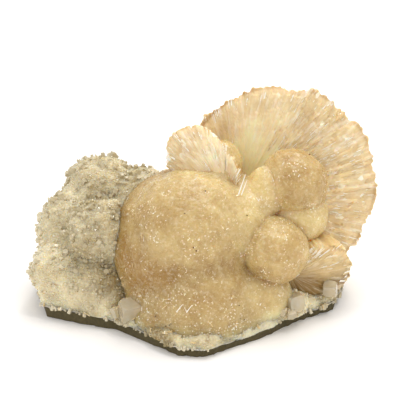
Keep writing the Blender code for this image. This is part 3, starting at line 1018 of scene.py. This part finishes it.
def add_point(bm, foot, way, turn, sides, width, depth, bluntness, finish):
    """A crystal of so many sides that narrows to a share of its width."""
    turned = way.to_track_quat("Z", "Y").to_matrix().to_4x4() @ Matrix.Rotation(turn, 4, "Z")
    made = bmesh.ops.create_cone(
        bm, cap_ends=True, segments=sides, radius1=width / 2 * MM, radius2=width / 2 * bluntness * MM,
        depth=depth * MM, matrix=Matrix.Translation(foot) @ turned,
    )
    for face in {face for vert in made["verts"] for face in vert.link_faces}:
        face.material_index = finish


def druse_points(crust_faces, rng):
    """Small clear crystals on chosen faces of the crust: blunt blocks and a few sharper points."""
    parts = []
    small, large = POINT_WIDTH
    lowest, highest = ROOM_HEIGHTS
    for middle, normal in rng.sample(crust_faces, POINTS):
        if normal.dot(towards_camera) > OPEN_FACING and rng.random() > OPEN_SHARE:
            continue
        bright = rng.random() < GLINT_WHITE_POINTS
        room = clamp((middle.z / MM - lowest) / (highest - lowest), LEAST_ROOM)
        width = small if bright else small + (large - small) * room * rng.random() ** FEWER_LARGE
        depth = width * rng.uniform(0.9, 1.6)
        way = (normal + shake(rng, OUT_SHAKE) / MM).normalized()
        turn, sides = rng.uniform(0, math.tau), rng.choice(POINT_SIDES)
        shape = (turn, sides, width, depth, rng.choice(POINT_BLUNTNESS))
        parts.append((middle - way * POINT_SINK * depth * MM, way, *shape, bright))
    return in_batches(add_point, parts)


def druse_point_material():
    """The clear tips of the druse: glass-like, with a little cream in them from the stone beneath."""
    material, tree, shader, where = new_material("druse_clear_points")
    tone = cloudy_tone(tree, where, "#b3a072", "#f6ebcc", 0.35)
    set_inputs(shader, {"Base Color": tone, "Roughness": 0.1, "IOR": CLEAR_IOR, "Transmission Weight": 0.2})
    return material


crust_mesh = rough_crust()
add_druse(crust_mesh, random.Random("druse"))
crust_faces = spots_on([face for face in crust_mesh.faces if face.normal.z > -0.3], POINTS_LOWEST)
crust_faces = [(middle, normal) for middle, normal in crust_faces if not inside_stilbite(middle, -0.3)]
point_mesh = druse_points(crust_faces, random.Random("points"))
add_crust_tones(point_mesh)
add_crust_tones(crust_mesh)
points = new_object("druse_points", point_mesh, [druse_point_material(), blade_finishes[1]])
finish_piece(points, "crust")
bmesh.ops.recalc_face_normals(crust_mesh, faces=crust_mesh.faces)
crust = new_object("druse_crust", crust_mesh, [druse_material()])
finish_piece(crust, "crust", "crust")

# %% [markdown]
# A dark plate stands below the crust's edge: partly a remnant of the dark rock the crust grew on, and partly
# painted shade, a dark sheet for the shadow under the edge. It is a plate a little smaller than the crust,
# whose long sides are cut into short pieces and roughened. Its top follows the crust's underside, which is
# higher at the left, and its own underside lifts a little away from the flat spot.

# %% The dark rock under the edge, partly painted shade
ROCK_INSET = 0.975
ROCK_TOP = 3.3 * MM
ROCK_SLOPE = 0.008
ROCK_CUTS = 5
ROCK_ROUGHNESS = 0.4 * MM


def dark_shade_band_rock():
    rng = random.Random("rock")
    bm = bmesh.new()
    raised_plate(bm, ROCK_INSET, 0, ROCK_TOP)
    bmesh.ops.recalc_face_normals(bm, faces=bm.faces)
    sides = [edge for edge in bm.edges if edge.is_manifold and abs(edge.calc_length() - ROCK_TOP) > 0.01 * MM]
    bmesh.ops.subdivide_edges(bm, edges=sides, cuts=ROCK_CUTS, use_grid_fill=False)
    for vert in bm.verts:
        if vert.co.z > ROCK_TOP / 2:
            vert.co.z += max(0, -vert.co.x) * LEFT_RISE
        ledge = max(0, math.hypot(vert.co.x, vert.co.y) - min(FLAT_SPOT_RADII)) * ROCK_SLOPE
        vert.co.z = max(vert.co.z, ledge)
        vert.co += Vector((rng.uniform(-1, 1), rng.uniform(-1, 1), 0)) * ROCK_ROUGHNESS
    return bm


# The rock as broken: dull olive brown with fine dark and light grains, partly painted shade under the edge.
rock_finish = mottled_material("shade_band_dark_rock_broken", 0.8, 4, "#3c3520", "#675c3b", {"Roughness": 0.9})
rock = new_object("shade_band_dark_rock", dark_shade_band_rock(), [rock_finish])
finish_piece(rock, "crust")

# %% [markdown]
# Along its edge the crust carries little sheaves: a few short blades that fan out from one foot. Some more
# stand low on the stilbite itself, where it runs out over the crust.

# %% Little sheaves along the edge
SHEAVES = 40
FOOT_SHEAVES = 20
SHEAF_BLADES = 7
SHEAF_SPREAD = 110
SHEAF_WOBBLE = 6
SHEAF_SINK = 0.4
SHEAF_WIDTH = (0.3, 0.6)
SHEAF_LENGTH = (0.8, 1.4)
SHEAF_THICKNESS = 0.4
EDGE_HIGHEST = 9 * MM
FOOT_HIGHEST = 17 * MM
# sheaf blades in the near-white finish: painted glints
SHEAF_GLINT_WHITE = 0.12


def edge_sheaves():
    rng = random.Random("sheaves")
    parts = []
    edge = [
        (middle, normal) for middle, normal in crust_faces
        if middle.z < EDGE_HIGHEST and normal.y < 0.3 and normal.z > 0.1
    ]
    foot = [(middle, normal) for middle, normal in ball_ends if middle.z < FOOT_HIGHEST and normal.y < -0.2]
    for middle, normal in rng.sample(edge, SHEAVES) + rng.sample(foot, FOOT_SHEAVES):
        across = Matrix.Rotation(rng.uniform(0, math.pi), 3, normal) @ normal.orthogonal().normalized()
        for index in range(SHEAF_BLADES):
            lean = SHEAF_SPREAD * (index / (SHEAF_BLADES - 1) - 0.5) + rng.uniform(-1, 1) * SHEAF_WOBBLE
            lean = math.radians(lean)
            along = (normal * math.cos(lean) + across * math.sin(lean)).normalized()
            foot_place = middle - normal * SHEAF_SINK * MM
            size = (rng.uniform(*SHEAF_WIDTH), rng.uniform(*SHEAF_LENGTH), SHEAF_THICKNESS)
            parts.append((foot_place, along, normal.cross(across), *size, rng.random() < SHEAF_GLINT_WHITE))
    return in_batches(add_blade, parts)


sheaves = new_object("edge_sheaves", edge_sheaves(), blade_finishes)
finish_piece(sheaves, "crust")

# %% [markdown]
# ## The clear blocks
# A few crystals are large enough to see into: the three of the solids, of which the right one is a little
# smaller here, and four more beside them. Each is a block with its corners cut off, and its edges are rounded
# a very little, because a real edge always catches a line of light. The shader is plain transmission, tinted
# a little and partly clouded, so it stays the same when the model is exported.

# %% Clear blocks
CLEAR_BLOCKS = [
    # centre (mm), size (mm), turn about Z and lean about X (degrees)
    ((-23, -18.5, 8), (6.5, 5.5, 6.5), 20, 14),
    ((28, -14, 8.5), (5.5, 5.5, 5), 35, -12),
    ((40.5, -6.5, 9.2), (4.2, 3.4, 4.4), -15, 18),
    ((-27.8, -17.2, 6.6), (2.2, 2.2, 3.4), 50, -20),
    ((27.4, -17.6, 6.2), (2.6, 2.2, 3.0), 10, 25),
    ((24.6, -18.2, 7.6), (2.0, 2.4, 2.6), 65, 10),
    ((-19.6, -21.4, 4.6), (2.4, 2.0, 2.2), 30, -15),
]
CORNER_CUT = 0.22
EDGE_ROUNDING = 0.12


def clear_blocks():
    bm = bmesh.new()
    for centre, size, turn, lean in CLEAR_BLOCKS:
        block = bmesh.new()
        bmesh.ops.create_cube(block, size=1)
        bmesh.ops.bevel(
            block, geom=block.verts[:], offset=CORNER_CUT, segments=1, profile=0.5, affect="VERTICES",
            material=-1,
        )
        bmesh.ops.scale(block, vec=Vector(size) * MM, verts=block.verts)
        bmesh.ops.bevel(
            block, geom=block.edges[:], offset=EDGE_ROUNDING * MM, segments=2, profile=0.5, affect="EDGES",
            material=-1,
        )
        turned = Matrix.Rotation(math.radians(turn), 4, "Z") @ Matrix.Rotation(math.radians(lean), 4, "X")
        bmesh.ops.transform(block, matrix=Matrix.Translation(Vector(centre) * MM) @ turned, verts=block.verts)
        pour(block, bm)
    return bm


def clear_block_material():
    """Clear crystal, as grown: glassy, with a faint waviness and a little cream in its depth."""
    material, tree, shader, where = new_material("clear_crystal_grown_faces")
    waves = add_node(tree, "TexNoise", {"Vector": where, "Scale": per_mm(1.6), "Detail": 3})
    pale, paler = colour("#f3e0b2"), colour("#fffaea")
    tone = add_node(tree, "Mix", {"Factor": waves, "A": pale, "B": paler}, data_type="RGBA")
    haze = add_node(tree, "MapRange", {
        "Value": waves, "From Min": 0.4, "From Max": 0.7, "To Min": 0.03, "To Max": 0.15,
    })
    bump = add_node(tree, "Bump", {"Height": waves, "Strength": 0.15, "Distance": 0.15 * MM})
    set_inputs(shader, {
        "Base Color": tone, "Roughness": haze, "Normal": bump, "IOR": CLEAR_IOR, "Transmission Weight": 0.6,
    })
    return material


blocks = new_object("clear_blocks", clear_blocks(), [clear_block_material()])
finish_piece(blocks, "clear_crystal", "clear_crystal_left", "clear_crystal_middle", "clear_crystal_right")

# %% [markdown]
# ## Dark grains
# A few specks of dark mineral sit in the surface. Each is a small ball of twenty faces, squeezed unevenly, and
# is set on the nearest point of the stilbite or the crust so that it can't float.

# %% Dark grains
DARK_GRAINS = [
    # place (mm)
    (-5.8, -18.7, 41.7), (-3.1, -23.3, 32.5), (-2.2, -23.4, 31.4), (12.3, -10.8, 37.0), (-10.2, -27.6, 8.4),
    (11.3, -25.3, 9.1), (-14.9, -23.8, 8.9), (-11.7, -26.9, 7.2), (-10.6, -27.2, 7.9), (10.7, -24.3, 13.1),
    (0.5, -11.9, 46.2), (12.6, -24.6, 8.4), (-37.2, -9.0, 26.0), (36, 4.4, 37.6), (38.0, 5.6, 58.4),
    (17, -23.2, 5.2), (-6.6, -31.2, 6.1), (-39.5, -13.4, 12.0),
]
GRAIN_RADII = (0.15, 0.35)  # mm


def dark_grains():
    rng = random.Random("grains")
    bm = bmesh.new()
    for place in [Vector(corner) * MM for corner in DARK_GRAINS]:
        hits = [surface.closest_point_on_mesh(place)[1] for surface in (cluster, crust)]
        nearest = min(hits, key=lambda hit: (hit - place).length)
        add_ball(bm, nearest / MM, [rng.uniform(*GRAIN_RADII) for _ in range(3)], 1)
    return bm


# Specks of rusty iron mineral: nearly black, dull brown where they thin out.
grain_finish = mottled_material("rusty_dark_grains", 0.4, 2, "#33251a", "#6e4a2c", {"Roughness": 0.6})
grains = new_object("dark_grains", dark_grains(), [grain_finish])
finish_piece(grains, "stilbite")

# %% [markdown]
# ## Floor and light
# The specimen stands on white paper under soft overhead light. The sky is an even white, a large lamp gives
# the shapes their shading, and three small ones make the glints on glassy faces.

# %% Floor, lamps and sky
LAMPS = {
    # name: place (m), side (m), power (W)
    "overhead": ((0.15, 0.2, 0.9), 0.5, 3.0),
    "glint_left": ((-0.35, -0.25, 0.55), 0.03, 0.3),
    "glint_right": ((0.25, -0.10, 0.6), 0.03, 0.3),
    "glint_back": ((0.05, 0.35, 0.5), 0.03, 0.3),
}


def add_lamp(name, place, size, power):
    lamp = bpy.data.objects.new(name, bpy.data.lights.new(name, "AREA"))
    lamp.location = place
    lamp.rotation_euler = (CAMERA_TARGET - Vector(place)).to_track_quat("-Z", "Y").to_euler()
    lamp.data.size = size
    lamp.data.energy = power
    bpy.context.scene.collection.objects.link(lamp)


# Plain white paper, with hardly visible patches.
paper = mottled_material("white_paper", 50 / 3, 3, "#fdfaf7", "#fffdfb", {"Roughness": 0.9})
floor_mesh = bmesh.new()
bmesh.ops.create_grid(floor_mesh, x_segments=1, y_segments=1, size=3.0)
floor = new_object("floor", floor_mesh, [paper])
floor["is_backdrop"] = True

world = bpy.data.worlds.new("white_sky")
bpy.context.scene.world = world
world.use_nodes = True
set_inputs(world.node_tree.nodes["Background"], {"Color": colour("#ffffff"), "Strength": 0.86})
for name, lamp in LAMPS.items():
    add_lamp(name, *lamp)
print("lamps:", list(LAMPS))
bpy.context.scene.view_settings.view_transform = "Standard"

# %% [markdown]
# ## Sizes
# The dressed specimen should stay as large as its solids, so the script prints how much its box has grown.

# %% Print how much the box grew
dressed_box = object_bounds()
growth = (dressed_box[1] - dressed_box[0]) - (cad_box[1] - cad_box[0])
print("grown by (mm):", [round(side / MM, 2) for side in growth])
